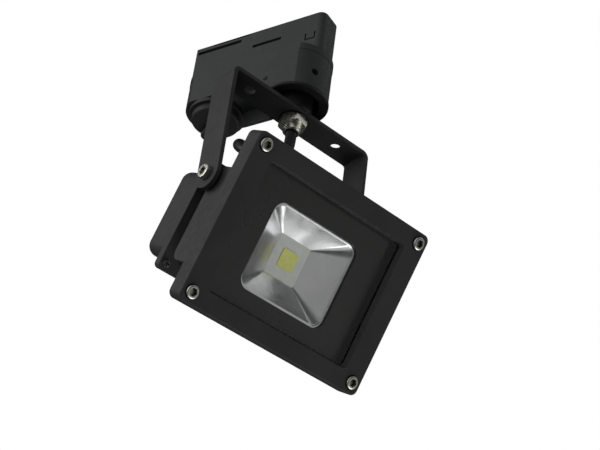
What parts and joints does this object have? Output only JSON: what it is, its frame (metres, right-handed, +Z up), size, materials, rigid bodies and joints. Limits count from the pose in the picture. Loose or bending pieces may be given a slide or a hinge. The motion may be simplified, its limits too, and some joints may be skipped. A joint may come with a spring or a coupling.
{
  "type": "track spotlight",
  "caption": "Grey track spotlight: square floodlight head with finned heat sink and driver box in a U bracket, hung from a track adapter with a lock knob.",
  "frame": {"origin": "on the pan axis, in the plane where the adapter's plate meets the underside of the track", "axes": "+Z up into the track, +X along the track towards the swivel stem's end, +Y across the track; the bracket and head stand in the pose shown, turned 17.3 degrees about Z and tilted 30.5 degrees down"},
  "size_m": [0.1351, 0.1245, 0.2113],
  "materials": {
    "adapter_plastic": "fine moulded texture",
    "black_plastic": "satin",
    "black_steel": "black oxide",
    "board_metal": "white solder mask",
    "bracket_paint": "fine-grained powder coat",
    "brass": "plain",
    "cable_rubber": "satin",
    "clear_glass": "clear toughened",
    "component_black": "satin",
    "copper_contact": "plain",
    "green_board": "circuit board",
    "grey_rubber": "matt",
    "housing_paint": "fine-grained powder coat",
    "knob_plastic": "fine moulded texture",
    "mask_paint": "black print on glass",
    "pad_grey": "soft",
    "phosphor": "smooth silicone",
    "reflector_metal": "bright anodised",
    "tape_yellow": "wound coil",
    "wire_red": "insulation",
    "zinc_steel": "zinc plated"
  },
  "bodies": {
    "adapter": {"adapter_body": "adapter_plastic", "locating_pin": "black_plastic", "boss_ring": "black_plastic", "closing_plate": "adapter_plastic", "track_insert": "adapter_plastic", "phase_contacts": "copper_contact", "contact_carrier": "black_plastic", "neutral_contact": "copper_contact", "terminal_block": "black_plastic", "terminal_screws": "brass", "pan_set_screw": "black_steel"},
    "lock": {"lock_knob": "knob_plastic", "lock_shaft": "knob_plastic", "lock_tongue": "zinc_steel", "shaft_ring": "zinc_steel"},
    "bracket": {"swivel_stem": "zinc_steel", "stem_top_nut": "zinc_steel", "stem_top_washer": "zinc_steel", "spacer_collar": "black_plastic", "u_bracket": "bracket_paint", "base_washer": "black_steel", "hex_nut": "zinc_steel", "jumper_cable": "cable_rubber"},
    "head": {"bezel": "housing_paint", "bezel_screws": "zinc_steel", "window_glass": "clear_glass", "glass_mask": "mask_paint", "glass_gasket": "grey_rubber", "reflector": "reflector_metal", "cob_board": "board_metal", "cob_phosphor": "phosphor", "cob_screws": "zinc_steel", "thermal_pad": "pad_grey", "heat_sink": "housing_paint", "driver_base": "housing_paint", "driver_screws": "zinc_steel", "driver_seal": "grey_rubber", "driver_cover": "housing_paint", "driver_board": "green_board", "driver_transformer": "tape_yellow", "driver_capacitors": "component_black", "driver_inductor": "brass", "led_leads": "wire_red", "cable_gland": "black_plastic", "gland_dome_nut": "black_plastic", "gland_locknut": "black_plastic", "pivot_screws": "zinc_steel", "pivot_washers": "zinc_steel"}
  },
  "joints": [
    {"name": "lock_turn", "type": "hinge", "parent": "adapter", "child": "lock", "pos_m": [-0.0515, 0, -0.02], "axis": [0, 0, 1], "range_deg": [0, 90]},
    {"name": "pan", "type": "hinge", "parent": "adapter", "child": "bracket", "pos_m": [0, 0, 0], "axis": [0, 0, 1], "range_deg": [-175, 175]},
    {"name": "tilt", "type": "hinge", "parent": "bracket", "child": "head", "pos_m": [0, 0, -0.1038], "axis": [0.2974, 0.9548, 0], "range_deg": [-60, 60], "deforming": ["jumper_cable"]}
  ]
}
